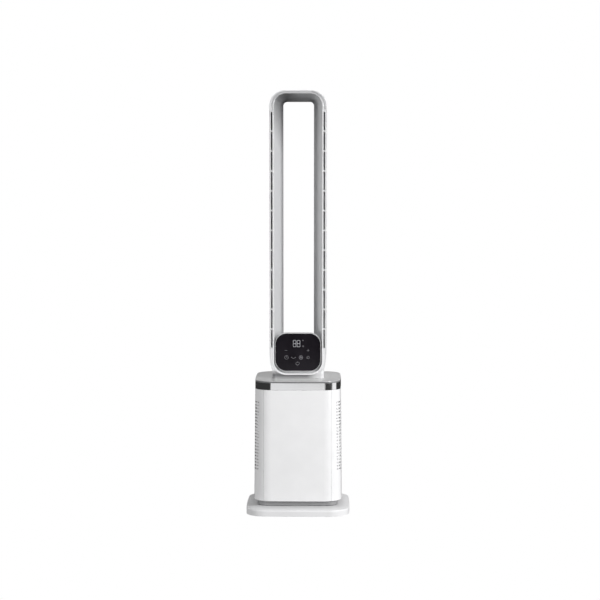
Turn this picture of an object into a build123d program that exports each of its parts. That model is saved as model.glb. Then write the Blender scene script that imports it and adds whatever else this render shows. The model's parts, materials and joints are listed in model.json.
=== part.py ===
from build123d import *
import math
import os

os.makedirs("parts", exist_ok=True)

# Bladeless tower fan. +Z is up, the front faces -Y, the origin is the centre of the foot print on the floor.

# ---------------------------------------------------------------- clearances
RUN_CLEAR = 0.05          # radial, shaft in its bearing
SEAT_CLEAR = 0.3          # between pieces that sit together
SEAM = 0.4                # open seam between body panels
SCREW_CLEAR = 0.2         # radial, screw in its hole
SWING_CLEAR = 1.5         # under the turntable's skirt
OVER = 1.0                # how far a cut runs past a face

# ---------------------------------------------------------------- base
FOOT_HEIGHT = 3.0
FOOT_RADIUS = 11.0
FOOT_INSET = 14.5         # feet on the diagonals, this far within the plate's half width
PLATE_HALF = 132.5
PLATE_BOW = 4.0
PLATE_CORNER = 52.0
PLATE_WALL = 3.5
PLATE_SIDE = 17.5
PLATE_ROUND = 4.5         # rounded shoulder
PLATE_CROWN = 5.0         # rise of the top towards the pedestal
RIM_RECESS = 0.5          # base cover lies this far inside the rim
COVER_THICK = 2.5
DECK_LEDGE = 9.0          # flat deck under the tower ends this far within the body's sides
RIB_COUNT = 8
RIB_THICK = 2.0
WEIGHT_INNER = 48.0
WEIGHT_INSET = 28.5       # weight within the plate's half width
WEIGHT_THICK = 8.0
GLIDE_INSET = 3.0         # glide ring within the turntable's skirt
GLIDE_WIDTH = 8.0
GLIDE_THICK = 4.0
GLAND_RADIUS = 3.9
GLAND_BORE = 2.9

# ---------------------------------------------------------------- pivot and swing drive
POST_RADIUS = 15.0
POST_BORE = 11.0
BUSH_WALL = 3.0
HUB_WALL = 4.0
HUB_LENGTH = 16.0
RETAINER_RADIUS = 24.0
RETAINER_THICK = 2.0
PIVOT_NUT = 40.0          # across flats
PIVOT_NUT_THICK = 5.0
POST_SHOULDER = 1.5
GEAR_MODULE = 2.0
GEAR_WIDTH = 6.5
GEAR_BACKLASH = 0.35
GEAR_ADDENDUM = 0.8       # in modules, stub teeth
GEAR_DEDENDUM = 1.1       # in modules
PRESSURE_ANGLE = 20.0
SUN_TEETH = 35
PINION_TEETH = 14
SWING_SHAFT_RADIUS = 3.0
SWING_SHAFT_CLEAR = 1.0   # round the shaft in the turntable's floor
SWING_SHAFT_OFFSET = 8.0  # output shaft beside the motor's own axis
SWING_MOTOR_RADIUS = 17.5
SWING_MOTOR_HEIGHT = 19.0
SWING_EAR_REACH = 22.0
SWING_EAR_THICK = 2.0
SWING_PLUG_WIDTH = 12.0
SWING_PLUG_REACH = 5.0

# ---------------------------------------------------------------- body
SKIRT_INSET = 2.0         # skirt within the flat deck
SKIRT_WALL = 3.0
SKIRT_HEIGHT = 11.8
FLOOR_THICK = 3.0
TABLE_RIB_COUNT = 6
BODY_HALF = 113.0
BODY_BOW = 4.0
BODY_CORNER = 46.0
BODY_WALL = 2.5
BODY_HEIGHT = 284.7
BODY_DRAFT = 3.0          # each side is this much narrower at the top
BODY_EDGE = 1.6           # rounded lower edge
SEAM_INSET = 27.0         # seams of the side panels, within the body's half width
BOSS_RADIUS = 4.5
BOSS_X_INSET = 43.0       # screw bosses within the body's half width
BOSS_SETBACK = 11.0       # and behind the loop's neck
BOSS_LENGTH = 16.0
BOSS_BOTTOM = 4.0         # solid end of a boss, past its screw's tip
SLOT_HEIGHT = 3.2
SLOT_PITCH = 8.15
SLOT_ROW_COUNT = 22
SLOT_START = 79.0         # first row above the body's lower edge
SLOT_BAR_INSET = 26.0     # outer upright bar of the grille, within the body's half width
SLOT_BAR_WIDTH = 3.0
SLOT_END_INSET = 19.0

# ---------------------------------------------------------------- filters and power board
TRAY_HEIGHT = 68.0        # above the turntable's floor
TRAY_THICK = 2.5
TRAY_GAP = 1.0            # tray within the body's walls
TRAY_POST_X_INSET = 61.0
TRAY_POST_Y_INSET = 45.0
RAIL_THICK = 2.0          # rails that hold the filter frames on the tray
RAIL_HEIGHT = 5.0
FILTER_INSET = 13.0       # filters within the body's half width
FILTER_THICK = 21.0
FILTER_DEPTH = 128.0
FILTER_HEIGHT = 186.0
FILTER_RIM = 5.0
PLEAT_COUNT = 14
PLEAT_THICK = 1.6
TIE_THICK = 1.0           # bar across the middle of a filter frame
TIE_WIDTH = 4.0
BOARD_WIDTH = 52.0
BOARD_DEPTH = 84.0
BOARD_THICK = 1.6
BOARD_STAND = 6.0
BOARD_INSET = 47.0        # board's middle within the body's half width
BOARD_MARGIN = 6.0        # components within the board's edge
TRANSFORMER_WIDTH = 28.0
TRANSFORMER_HEIGHT = 22.0
CAPACITOR_RADIUS = 8.0
CAPACITOR_HEIGHT = 26.0
TERMINAL_WIDTH = 22.0
TERMINAL_DEPTH = 12.0
HEAT_SINK_THICK = 3.0
HEAT_SINK_HEIGHT = 18.0

# ---------------------------------------------------------------- fan
FAN_INLET = 26.0          # bellmouth above the filter tray
FAN_INSET = 47.0          # fan's throat within the body's half width
FAN_WALL = 2.5
BELL_FLARE = 9.0
TIP_CLEAR = 1.0
IMPELLER_HEIGHT = 42.0
IMPELLER_BLADE_COUNT = 9
IMPELLER_EYE = 17.0       # hub radius where the air enters
IMPELLER_BACK = 34.0      # hub radius where the air leaves
BELLY_OUT = 0.3           # hub's bulge: share of the way out from eye to back
BELLY_UP = 0.55           # and share of the way up
IMPELLER_WALL = 2.2
IMPELLER_LEAD = 18.0      # sideways travel of a blade at its root
BLADE_TWIST = 2.6         # tip lead over root lead
BLADE_CAMBER = 5.0
BLADE_THICK = 1.8
BLADE_STEP_COUNT = 4           # flats from the bottom to the top of a blade
STATOR_BLADE_COUNT = 7
STATOR_HEIGHT = 40.0
STATOR_LEAD = 14.0
CUP_RADIUS = 36.0
CUP_WALL = 2.5
CUP_GAP = 3.0             # between impeller and motor cup
MOTOR_RADIUS = 29.0
MOTOR_HEIGHT = 42.0
MOTOR_BOSS = 9.0
SHAFT_RADIUS = 4.0
NUT_RADIUS = 7.5
NUT_HEIGHT = 7.0
THREAD_END = 2.0          # shaft past its nut
ISOLATOR_HEIGHT = 7.0
ISOLATOR_WIDTH = 16.0
ISOLATOR_COUNT = 3
CAP_HEIGHT = 26.0
CAP_NOSE = 8.0
CAP_FLAT_COUNT = 16

# ---------------------------------------------------------------- top of the body
BAND_HEIGHT = 18.0
BAND_WALL = 2.0
DECK_THICK = 3.5
TOP_PLATE_THICK = 3.0
TOP_PLATE_INSET = 0.5
TOP_PLATE_ROUND = 1.8
TOP_GROOVE = 2.0          # open groove between band and top plate
DECK_RAIL = 2.5
DIFFUSER_WALL = 2.2
FLANGE_WIDTH = 6.0
FLANGE_THICK = 3.0
SOCKET_DEPTH = 8.0        # the duct's socket over the fan housing

# ---------------------------------------------------------------- loop
LOOP_RISE = 734.3         # above the top plate
LOOP_HALF = 73.0
LOOP_CORNER = 40.0
LOOP_FRONT = -50.5
LOOP_DEPTH = 109.5
LOOP_WALL = 2.5
LOOP_BACK_ROUND = 12.0
NECK_HALF = 66.6
NECK_FRONT = -42.7
NECK_HEIGHT = 20.0        # straight part above the top plate
WAIST_RISE = 45.0         # height over which the neck widens to the loop
SPIGOT = 17.0             # neck below the top plate's face
FLARE_FRONT_HALF = 61.0
FLARE_BACK_HALF = 39.5
FLARE_TOP = 8.0           # front edge below the loop's top
FLARE_FRONT_SINK = 13.2   # front edge above the top plate
FLARE_BACK_TOP = 29.3     # back edge below the loop's top
FLARE_BACK_SINK = 96.0   # back edge above the top plate
FLARE_FRONT_CORNER = 30.0
FLARE_BACK_CORNER = 10.5
FLARE_WALL = 2.0
FLARE_FLAT_COUNT = 12     # flats in each of its corners
LIP_WIDTH = 4.0
LIP_PROUD = 0.6
LIP_DEPTH = 8.0
LIP_ROUND = 0.8
RING_THICK = 5.5
OUTLET_WIDTH = 3.6
OUTLET_PITCH = 50.4
OUTLET_BRIDGE = 3.9
OUTLET_COUNT = 12
OUTLET_START = 78.8       # lowest slot above the top plate
GROOVE_WIDTH = 1.6
GROOVE_DEPTH = 1.5
GROOVE_SETBACK = 7.0      # groove starts this far above the last slot

# ---------------------------------------------------------------- control panel
GLASS_WIDTH = 115.0
GLASS_HEIGHT = 95.6
GLASS_CORNER = 28.0
GLASS_THICK = 3.0
GLASS_LIFT = 19.5         # lower edge above the top plate
GLASS_FRONT = -49.6
GLASS_EDGE = 0.5          # bevelled edge
GLASS_PROUD = 0.5         # glass in front of the housing's rim
HOUSING_RIM = 1.3
HOUSING_DEPTH = 25.0
HOUSING_WALL = 2.0
HOUSING_BEVEL = 6.0
DISPLAY_THICK = 1.6
DISPLAY_MARGIN = 6.0
DISPLAY_STAND = 4.0       # board behind the glass
DIGITS_WIDTH = 44.0
DIGITS_HEIGHT = 30.0
DIGITS_DROP = 11.0        # below the glass's top edge
DIGITS_CORNER = 2.0

# ---------------------------------------------------------------- fasteners
SCREW_RADIUS = 2.0
HEAD_RADIUS = 3.8
HEAD_HEIGHT = 2.4

# ---------------------------------------------------------------- derived widths
DECK_INSET = PLATE_HALF - BODY_HALF + DECK_LEDGE
FOOT_CIRCLE = PLATE_HALF - FOOT_INSET
WEIGHT_OUTER = PLATE_HALF - WEIGHT_INSET
GLIDE_OUTER = BODY_HALF - DECK_LEDGE - SKIRT_INSET - SKIRT_WALL - GLIDE_INSET
GLIDE_INNER = GLIDE_OUTER - GLIDE_WIDTH
BOSS_X = BODY_HALF - BOSS_X_INSET
BOSS_Y = LOOP_FRONT + LOOP_DEPTH + BOSS_SETBACK
PANEL_SPLIT = BODY_HALF - SEAM_INSET
SLOT_BAR = BODY_HALF - SLOT_BAR_INSET
SLOT_END = BODY_HALF - SLOT_END_INSET
TRAY_POST_X = BODY_HALF - TRAY_POST_X_INSET
TRAY_POST_Y = BODY_HALF - TRAY_POST_Y_INSET
FILTER_OUTER = BODY_HALF - FILTER_INSET
BOARD_X = BOARD_INSET - BODY_HALF
FAN_RADIUS = BODY_HALF - FAN_INSET

# ---------------------------------------------------------------- derived heights and gear circles
COVER_Z = FOOT_HEIGHT
RIM_Z = COVER_Z - RIM_RECESS
SHOULDER_Z = RIM_Z + PLATE_SIDE
DECK_Z = SHOULDER_Z + PLATE_CROWN
WEIGHT_Z = COVER_Z + COVER_THICK
SKIRT_Z = DECK_Z + SWING_CLEAR
FLOOR_Z = SKIRT_Z + SKIRT_HEIGHT
FLOOR_TOP = FLOOR_Z + FLOOR_THICK
BODY_Z = FLOOR_Z - SEAT_CLEAR
BODY_TOP = BODY_Z + BODY_HEIGHT
TRAY_Z = FLOOR_TOP + TRAY_HEIGHT
TRAY_TOP = TRAY_Z + TRAY_THICK
BAND_TOP = BODY_TOP + BAND_HEIGHT
DECK_TOP = BODY_TOP
DECK_BOTTOM = DECK_TOP - DECK_THICK
FACE_Z = BAND_TOP + TOP_GROOVE + TOP_PLATE_THICK
LOOP_TOP = FACE_Z + LOOP_RISE
LOOP_BACK = LOOP_FRONT + LOOP_DEPTH
SPIGOT_Z = FACE_Z - SPIGOT
INLET_Z = TRAY_TOP + FAN_INLET
IMPELLER_Z = INLET_Z + BELL_FLARE + SEAT_CLEAR
IMPELLER_TOP = IMPELLER_Z + IMPELLER_HEIGHT
CUP_Z = IMPELLER_TOP + CUP_GAP
MOTOR_Z = CUP_Z + CUP_WALL
STATOR_Z = CUP_Z + CUP_GAP
CUP_TOP = MOTOR_Z + MOTOR_HEIGHT
HOUSING_TOP = CUP_TOP + CUP_GAP
SUN_PITCH = GEAR_MODULE * SUN_TEETH / 2
PINION_PITCH = GEAR_MODULE * PINION_TEETH / 2
GEAR_CENTRES = SUN_PITCH + PINION_PITCH
GEAR_Z = DECK_Z + SEAT_CLEAR
HUB_Z = GEAR_Z + GEAR_WIDTH + SWING_CLEAR
HUB_TOP = HUB_Z + HUB_LENGTH
HUB_RADIUS = POST_RADIUS + BUSH_WALL + HUB_WALL


# ---------------------------------------------------------------- shared shapes
def squircle(half, bow, corner, inset=0.0):
    """Rounded square with bowed sides: half width, rise of a side's arc, corner radius, even inset."""
    reach = half - bow
    radius = (reach ** 2 + bow ** 2) / (2 * bow)
    centre = half - radius
    radius -= inset
    edge = (centre + math.sqrt(2 * radius ** 2 - centre ** 2)) / 2
    side = ThreePointArc((-edge, edge), (0, half - inset), (edge, edge))
    sides = [Rot(0, 0, 90 * turn) * side for turn in range(4)]
    face = Face(Wire(sides))
    return face.fillet_2d(corner - inset, face.vertices())


def plate_outline(inset=0.0):
    return squircle(PLATE_HALF, PLATE_BOW, PLATE_CORNER, inset)


def body_outline(inset=0.0):
    return squircle(BODY_HALF, BODY_BOW, BODY_CORNER, inset)


def prism(face, low, high):
    """A plan outline carried straight up."""
    return extrude(Pos(0, 0, low) * face, amount=high - low, dir=(0, 0, 1))


def slab(face, front, back):
    """A front-view outline (x, z) carried from front to back along +Y."""
    return extrude(Plane.XZ.offset(-front) * face, amount=back - front, dir=(0, 1, 0))


def stack(outline, levels):
    """Ruled solid through one plan outline at several (inset, height) levels."""
    return loft([Pos(0, 0, height) * outline(inset) for inset, height in levels], ruled=True)


def tube(outer, inner, low, high, x=0.0, y=0.0):
    ring = Circle(outer) - Circle(inner)
    return Pos(x, y, 0) * prism(ring, low, high)


def rod(radius, low, high, x=0.0, y=0.0):
    return Pos(x, y, 0) * prism(Circle(radius), low, high)


def block(x_range, y_range, z_range):
    size = [high - low for low, high in (x_range, y_range, z_range)]
    middle = [(high + low) / 2 for low, high in (x_range, y_range, z_range)]
    return Pos(*middle) * Box(*size)


def bar(width, low, high, x=0.0, y=0.0):
    """Square bar, for the small moulded posts."""
    return Pos(x, y, 0) * prism(Rectangle(width, width), low, high)


def pin(radius, low, high, x=0.0, y=0.0):
    """Small round, in eight flats."""
    return Pos(x, y, 0) * prism(RegularPolygon(radius, 8), low, high)


def screw(x, y, head_z, tip_z):
    """Hexagon-head screw with its head's far face at head_z; the tip may lie above or below."""
    up = 1 if tip_z > head_z else -1
    seat = head_z + up * HEAD_HEIGHT
    head = Pos(x, y, 0) * prism(RegularPolygon(HEAD_RADIUS, 6), min(head_z, seat), max(head_z, seat))
    return head + pin(SCREW_RADIUS, min(seat, tip_z), max(seat, tip_z), x, y)


def faceted(rings):
    """Solid in flat facets through rings of points; the first and last rings are closed."""
    def facets(loop):
        corners_of = [(loop[0], loop[at], loop[at + 1]) for at in range(1, len(loop) - 1)]
        return [make_face(Polyline(*points, close=True)) for points in corners_of]

    faces = facets(rings[0]) + facets(rings[-1])
    for ring, other in zip(rings, rings[1:]):
        for at in range(len(ring)):
            after = (at + 1) % len(ring)
            faces += facets([ring[at], ring[after], other[after], other[at]])
    return Solid(Shell(faces)).clean()


def spindle(sections, count):
    """Many-sided solid about the tower's axis through (radius, height) sections."""
    return faceted([[(x, y, height) for x, y in round_places(radius, count)] for radius, height in sections])


def corners(x, y):
    return [(x, y), (-x, y), (-x, -y), (x, -y)]


def round_places(radius, count, start=0.0):
    angles = [math.radians(start + 360 * index / count) for index in range(count)]
    return [(radius * math.cos(angle), radius * math.sin(angle)) for angle in angles]


# ---------------------------------------------------------------- base
def feet_places():
    return round_places(FOOT_CIRCLE, 4, 45)


def cover_screw_places():
    return round_places(WEIGHT_OUTER + 2 * HEAD_RADIUS, 4, 0)


def make_base_plate():
    bend = PLATE_ROUND * (1 - math.sqrt(0.5))
    skin = stack(plate_outline, [(0, RIM_Z), (0, SHOULDER_Z - PLATE_ROUND), (bend, SHOULDER_Z - bend)])
    skin += stack(plate_outline, [(bend, SHOULDER_Z - bend), (DECK_INSET, DECK_Z)])
    roof = SHOULDER_Z - PLATE_ROUND
    hollow = prism(plate_outline(PLATE_WALL), 0, roof)
    plate = skin - hollow - rod(WEIGHT_INNER - SEAT_CLEAR, 0, DECK_Z - PLATE_WALL)
    for turn in range(RIB_COUNT):
        rib_reach = (WEIGHT_OUTER + SEAT_CLEAR, 2 * PLATE_HALF)
        rib = block(rib_reach, (-RIB_THICK / 2, RIB_THICK / 2), (WEIGHT_Z, roof))
        plate += (Rot(0, 0, 360 * (turn + 0.5) / RIB_COUNT) * rib) & skin
    for x, y in cover_screw_places():
        plate += bar(2 * HEAD_RADIUS, WEIGHT_Z, roof, x, y) - pin(SCREW_RADIUS, 0, DECK_Z, x, y)
    plate -= rod(POST_RADIUS, 0, DECK_Z + OVER)
    return plate - gland_body(GLAND_RADIUS, PLATE_HALF - 2 * PLATE_WALL, PLATE_HALF + OVER)


def gland_body(radius, front, back):
    """Round bar through the rear wall, where the cord enters."""
    height = WEIGHT_Z + GLAND_RADIUS + SEAT_CLEAR
    return slab(Pos(0, height) * Circle(radius), front, back)


def make_cord_gland():
    back = PLATE_HALF - SEAT_CLEAR
    front = PLATE_HALF - 2 * PLATE_WALL
    return gland_body(GLAND_RADIUS, front, back) - gland_body(GLAND_BORE, front, back)


def make_base_weight():
    slab_plan = RegularPolygon(WEIGHT_OUTER, 8) - RegularPolygon(WEIGHT_INNER, 8)
    return prism(slab_plan, WEIGHT_Z, WEIGHT_Z + WEIGHT_THICK)


def make_base_cover():
    cover = prism(plate_outline(PLATE_WALL + SEAT_CLEAR), COVER_Z, WEIGHT_Z)
    for x, y in cover_screw_places():
        cover -= pin(SCREW_RADIUS + SCREW_CLEAR, 0, WEIGHT_Z + OVER, x, y)
    return cover


def make_rubber_feet():
    return [rod(FOOT_RADIUS, 0, FOOT_HEIGHT, x, y) for x, y in feet_places()]


def make_base_screws():
    tip = SHOULDER_Z - PLATE_ROUND - RIB_THICK
    return [screw(x, y, COVER_Z - HEAD_HEIGHT, tip) for x, y in cover_screw_places()]


def make_pivot_post():
    """Hollow pivot: its shoulder clamps the sun gear down, the nut draws it from below."""
    low = DECK_Z - PLATE_WALL - PIVOT_NUT_THICK - POST_SHOULDER
    post = rod(POST_RADIUS, low, HUB_TOP + 2 * SEAT_CLEAR + RETAINER_THICK + POST_SHOULDER)
    return post - rod(POST_BORE, 0, BODY_TOP)


def make_pivot_nut():
    top = DECK_Z - PLATE_WALL
    outline = RegularPolygon(PIVOT_NUT / 2, 6, major_radius=False)
    return prism(outline, top - PIVOT_NUT_THICK, top) - rod(POST_RADIUS, 0, DECK_Z)


def make_glide_ring():
    return tube(GLIDE_OUTER, GLIDE_INNER, DECK_Z, DECK_Z + GLIDE_THICK)


def make_pivot_retainer():
    low = HUB_TOP + SEAT_CLEAR
    return tube(RETAINER_RADIUS, POST_RADIUS, low, low + RETAINER_THICK)


# ---------------------------------------------------------------- gears
def gear_outline(teeth):
    """Spur gear outline: stub involute teeth, the first one centred on +X."""
    pitch = GEAR_MODULE * teeth / 2
    base = pitch * math.cos(math.radians(PRESSURE_ANGLE))
    tip = pitch + GEAR_ADDENDUM * GEAR_MODULE
    root = pitch - GEAR_DEDENDUM * GEAR_MODULE
    start = max(base, root)

    def involute(radius):
        cosine = min(1.0, base / radius)
        return math.tan(math.acos(cosine)) - math.acos(cosine)

    half_tooth = math.pi / (2 * teeth) - GEAR_BACKLASH / (4 * pitch) + involute(pitch)
    flank = [(radius, half_tooth - involute(radius)) for radius in (start, tip)]
    if base > root:
        flank = [(root, flank[0][1])] + flank
    points = []
    for tooth in range(teeth):
        middle = 2 * math.pi * tooth / teeth
        for radius, angle in flank:
            points.append((radius * math.cos(middle - angle), radius * math.sin(middle - angle)))
        for radius, angle in reversed(flank):
            points.append((radius * math.cos(middle + angle), radius * math.sin(middle + angle)))
    return make_face(Polyline(*points, close=True))


def make_sun_gear():
    gear = Rot(0, 0, 90) * prism(gear_outline(SUN_TEETH), DECK_Z, GEAR_Z + GEAR_WIDTH)
    return gear - rod(POST_RADIUS, 0, HUB_Z)


def make_swing_pinion():
    mesh_angle = 270 - 180 / PINION_TEETH
    gear = Rot(0, 0, mesh_angle) * prism(gear_outline(PINION_TEETH), GEAR_Z, GEAR_Z + GEAR_WIDTH)
    gear -= rod(SWING_SHAFT_RADIUS, 0, HUB_TOP)
    return Pos(0, GEAR_CENTRES, 0) * gear


def make_swing_shaft():
    return rod(SWING_SHAFT_RADIUS, GEAR_Z, FLOOR_TOP + SWING_MOTOR_HEIGHT / 2, 0, GEAR_CENTRES)


# ---------------------------------------------------------------- turntable and what stands on it
def swing_ear_places():
    middle = GEAR_CENTRES + SWING_SHAFT_OFFSET
    return [(-SWING_EAR_REACH, middle), (SWING_EAR_REACH, middle)]


def board_places():
    x_reach = BOARD_WIDTH / 2 - HEAD_RADIUS
    y_reach = BOARD_DEPTH / 2 - HEAD_RADIUS
    return [(BOARD_X + x, y) for x, y in corners(x_reach, y_reach)]


def make_turntable():
    floor = prism(body_outline(BODY_WALL + 2 * SEAT_CLEAR), FLOOR_Z, FLOOR_TOP)
    skirt = DECK_INSET + SKIRT_INSET
    table = floor + prism(plate_outline(skirt), SKIRT_Z, FLOOR_Z)
    table -= prism(plate_outline(skirt + SKIRT_WALL), SKIRT_Z, FLOOR_Z)
    table += rod(HUB_RADIUS, HUB_Z, HUB_TOP)
    rib = block((HUB_RADIUS - HUB_WALL / 2, GLIDE_OUTER), (-RIB_THICK / 2, RIB_THICK / 2), (HUB_Z, FLOOR_Z))
    foot_z = DECK_Z + GLIDE_THICK + SEAT_CLEAR
    rib += block((GLIDE_INNER, GLIDE_OUTER), (-GLIDE_THICK, GLIDE_THICK), (foot_z, FLOOR_Z))
    table += [Rot(0, 0, 360 * (turn + 0.5) / TABLE_RIB_COUNT) * rib for turn in range(TABLE_RIB_COUNT)]
    table -= rod(POST_RADIUS + BUSH_WALL, 0, HUB_TOP + OVER)
    table -= rod(SWING_SHAFT_RADIUS + SWING_SHAFT_CLEAR, 0, FLOOR_TOP + OVER, 0, GEAR_CENTRES)
    table -= rod(PINION_PITCH + 2 * GEAR_MODULE, 0, GEAR_Z + GEAR_WIDTH + SWING_CLEAR, 0, GEAR_CENTRES)
    for x, y in corners(BOSS_X, BOSS_Y):
        table -= pin(SCREW_RADIUS + SCREW_CLEAR, 0, FLOOR_TOP + OVER, x, y)
    for x, y in board_places():
        table += bar(HEAD_RADIUS, FLOOR_TOP, FLOOR_TOP + BOARD_STAND, x, y)
    for x, y in corners(TRAY_POST_X, TRAY_POST_Y):
        table += bar(BOSS_RADIUS, FLOOR_TOP, TRAY_Z, x, y)
    for x, y in swing_ear_places():
        table -= pin(SCREW_RADIUS, 0, FLOOR_TOP + OVER, x, y)
    return table


def make_hub_bush():
    return tube(POST_RADIUS + BUSH_WALL, POST_RADIUS + RUN_CLEAR, HUB_Z, HUB_TOP)


def make_swing_motor():
    middle = GEAR_CENTRES + SWING_SHAFT_OFFSET
    can = rod(SWING_MOTOR_RADIUS, FLOOR_TOP, FLOOR_TOP + SWING_MOTOR_HEIGHT, 0, middle)
    ear = SlotOverall(2 * (SWING_EAR_REACH + HEAD_RADIUS), 2 * HEAD_RADIUS)
    can += Pos(0, middle, 0) * prism(ear, FLOOR_TOP, FLOOR_TOP + SWING_EAR_THICK)
    shaft_top = FLOOR_TOP + SWING_MOTOR_HEIGHT / 2
    plug_reach = (middle, middle + SWING_MOTOR_RADIUS + SWING_PLUG_REACH)
    can += block((-SWING_PLUG_WIDTH / 2, SWING_PLUG_WIDTH / 2), plug_reach, (FLOOR_TOP, shaft_top))
    can -= rod(SWING_SHAFT_RADIUS + RUN_CLEAR, FLOOR_TOP, shaft_top + OVER, 0, GEAR_CENTRES)
    for x, y in swing_ear_places():
        can -= pin(SCREW_RADIUS + SCREW_CLEAR, FLOOR_Z, FLOOR_TOP + SWING_MOTOR_HEIGHT, x, y)
    return can


def make_swing_motor_screws():
    head = FLOOR_TOP + SWING_EAR_THICK + HEAD_HEIGHT
    return [screw(x, y, head, FLOOR_Z + SEAT_CLEAR) for x, y in swing_ear_places()]


def make_power_board():
    low = FLOOR_TOP + BOARD_STAND
    high = low + BOARD_THICK
    reach = BOARD_DEPTH / 2 - BOARD_MARGIN
    left = BOARD_X - BOARD_WIDTH / 2
    right = BOARD_X + BOARD_WIDTH / 2
    board = block((left, right), (-BOARD_DEPTH / 2, BOARD_DEPTH / 2), (low, high))
    core = (left + BOARD_MARGIN, left + BOARD_MARGIN + TRANSFORMER_WIDTH)
    board += block(core, (-TRANSFORMER_WIDTH / 2, TRANSFORMER_WIDTH / 2), (high, high + TRANSFORMER_HEIGHT))
    board += rod(CAPACITOR_RADIUS, high, high + CAPACITOR_HEIGHT, BOARD_X, reach - CAPACITOR_RADIUS)
    terminals = (BOARD_X - TERMINAL_WIDTH / 2, BOARD_X + TERMINAL_WIDTH / 2)
    board += block(terminals, (-reach, TERMINAL_DEPTH - reach), (high, high + TERMINAL_DEPTH))
    fin = (right - BOARD_MARGIN - HEAT_SINK_THICK, right - BOARD_MARGIN)
    return board + block(fin, (-reach, reach), (high, high + HEAT_SINK_HEIGHT))


def make_filter_tray():
    tray = prism(body_outline(BODY_WALL + TRAY_GAP), TRAY_Z, TRAY_TOP)
    rail_outer = FILTER_OUTER + SEAT_CLEAR
    rail_inner = FILTER_OUTER - FILTER_THICK - SEAT_CLEAR
    for side in (-1, 1):
        for edge, width in ((rail_outer, RAIL_THICK), (rail_inner, -RAIL_THICK)):
            x_range = sorted((side * edge, side * (edge + width)))
            tray += block(x_range, (-FILTER_DEPTH / 2, FILTER_DEPTH / 2), (TRAY_TOP, TRAY_TOP + RAIL_HEIGHT))
    return tray - rod(POST_BORE, TRAY_Z - OVER, TRAY_TOP + OVER, 0, TRAY_POST_Y)


def make_filter_frame(side):
    x_range = sorted((side * FILTER_OUTER, side * (FILTER_OUTER - FILTER_THICK)))
    top = TRAY_TOP + FILTER_HEIGHT
    half = FILTER_DEPTH / 2
    frame = block(x_range, (-half, half), (TRAY_TOP, top))
    frame -= block((x_range[0] - OVER, x_range[1] + OVER), (-half + FILTER_RIM, half - FILTER_RIM),
                   (TRAY_TOP + FILTER_RIM, top - FILTER_RIM))
    middle = TRAY_TOP + FILTER_HEIGHT / 2
    face = side * (FILTER_OUTER - TIE_THICK)
    tie_range = sorted((face, side * FILTER_OUTER))
    return frame + block(tie_range, (-half, half), (middle - TIE_WIDTH / 2, middle + TIE_WIDTH / 2))


def make_filter_media(side):
    """Pleated paper block: one zigzag ribbon, standing in the frame."""
    half = FILTER_DEPTH / 2 - FILTER_RIM
    near = FILTER_OUTER - FILTER_THICK + PLEAT_THICK
    far = FILTER_OUTER - 2 * PLEAT_THICK
    step = 2 * half / (2 * PLEAT_COUNT)
    line = []
    for fold in range(2 * PLEAT_COUNT + 1):
        line.append((far if fold % 2 else near, -half + fold * step))
    back = [(x - PLEAT_THICK, y) for x, y in reversed(line)]
    ribbon = make_face(Polyline(*(line + back), close=True))
    low = TRAY_TOP + FILTER_RIM
    media = prism(ribbon, low, low + FILTER_HEIGHT - 2 * FILTER_RIM)
    return media if side > 0 else mirror(media, Plane.YZ)


# ---------------------------------------------------------------- body shells
def body_bore(inset):
    """Space inside the body's walls, narrowing upwards with them."""
    return stack(body_outline, [(inset, BODY_Z), (inset + BODY_DRAFT, BODY_TOP)])


def body_tube():
    levels = []
    for angle in (0, 45, 90):
        turn = math.radians(angle)
        levels.append((BODY_EDGE * (1 - math.sin(turn)), BODY_Z + BODY_EDGE * (1 - math.cos(turn))))
    levels.append((BODY_DRAFT, BODY_TOP))
    return stack(body_outline, levels) - body_bore(BODY_WALL)


def shell_room(side):
    """Space kept by the front (-1) or rear (+1) shell."""
    y_range = sorted((0, side * 2 * BODY_HALF))
    return block((-PANEL_SPLIT, PANEL_SPLIT), y_range, (BODY_Z - OVER, BODY_TOP + OVER))


def make_body_shell(skin, side):
    shell = skin & shell_room(side)
    inside = body_bore(BODY_WALL / 2)
    for x, y in corners(BOSS_X, BOSS_Y)[:2]:
        for low in (FLOOR_TOP, DECK_BOTTOM - BOSS_LENGTH):
            boss = bar(2 * BOSS_RADIUS, low, low + BOSS_LENGTH, x, side * y)
            web_range = sorted((side * y, side * BODY_HALF))
            boss += block((x - BODY_WALL / 2, x + BODY_WALL / 2), web_range, (low, low + BOSS_LENGTH))
            shell += (boss & inside) - pin(SCREW_RADIUS, 0, BODY_TOP + OVER, x, side * y)
    return shell


def make_intake_grille(skin, side):
    reach = PANEL_SPLIT + SEAM
    x_range = sorted((side * reach, side * 2 * BODY_HALF))
    panel = skin & block(x_range, (-BODY_HALF, BODY_HALF), (BODY_Z - OVER, BODY_TOP + OVER))
    gap = SLOT_BAR_WIDTH / 2
    columns = [(-SLOT_END, -SLOT_BAR - gap), (-SLOT_BAR + gap, -gap), (gap, SLOT_BAR - gap)]
    slots = []
    for row in range(SLOT_ROW_COUNT):
        low = BODY_Z + SLOT_START + row * SLOT_PITCH
        slots += [block(x_range, column, (low, low + SLOT_HEIGHT)) for column in columns]
    return panel - slots


def make_shell_screws():
    grip = BOSS_LENGTH - BOSS_BOTTOM
    low = [screw(x, y, FLOOR_Z - HEAD_HEIGHT, FLOOR_TOP + grip) for x, y in corners(BOSS_X, BOSS_Y)]
    high = [screw(x, y, DECK_TOP + HEAD_HEIGHT, DECK_BOTTOM - grip) for x, y in corners(BOSS_X, BOSS_Y)]
    return low + high


# ---------------------------------------------------------------- fan
def revolved(points):
    """Solid of revolution about the tower's axis from (radius, height) points."""
    face = make_face(Polyline(*[(radius, 0, height) for radius, height in points], close=True))
    return revolve(face, Axis.Z)


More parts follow.
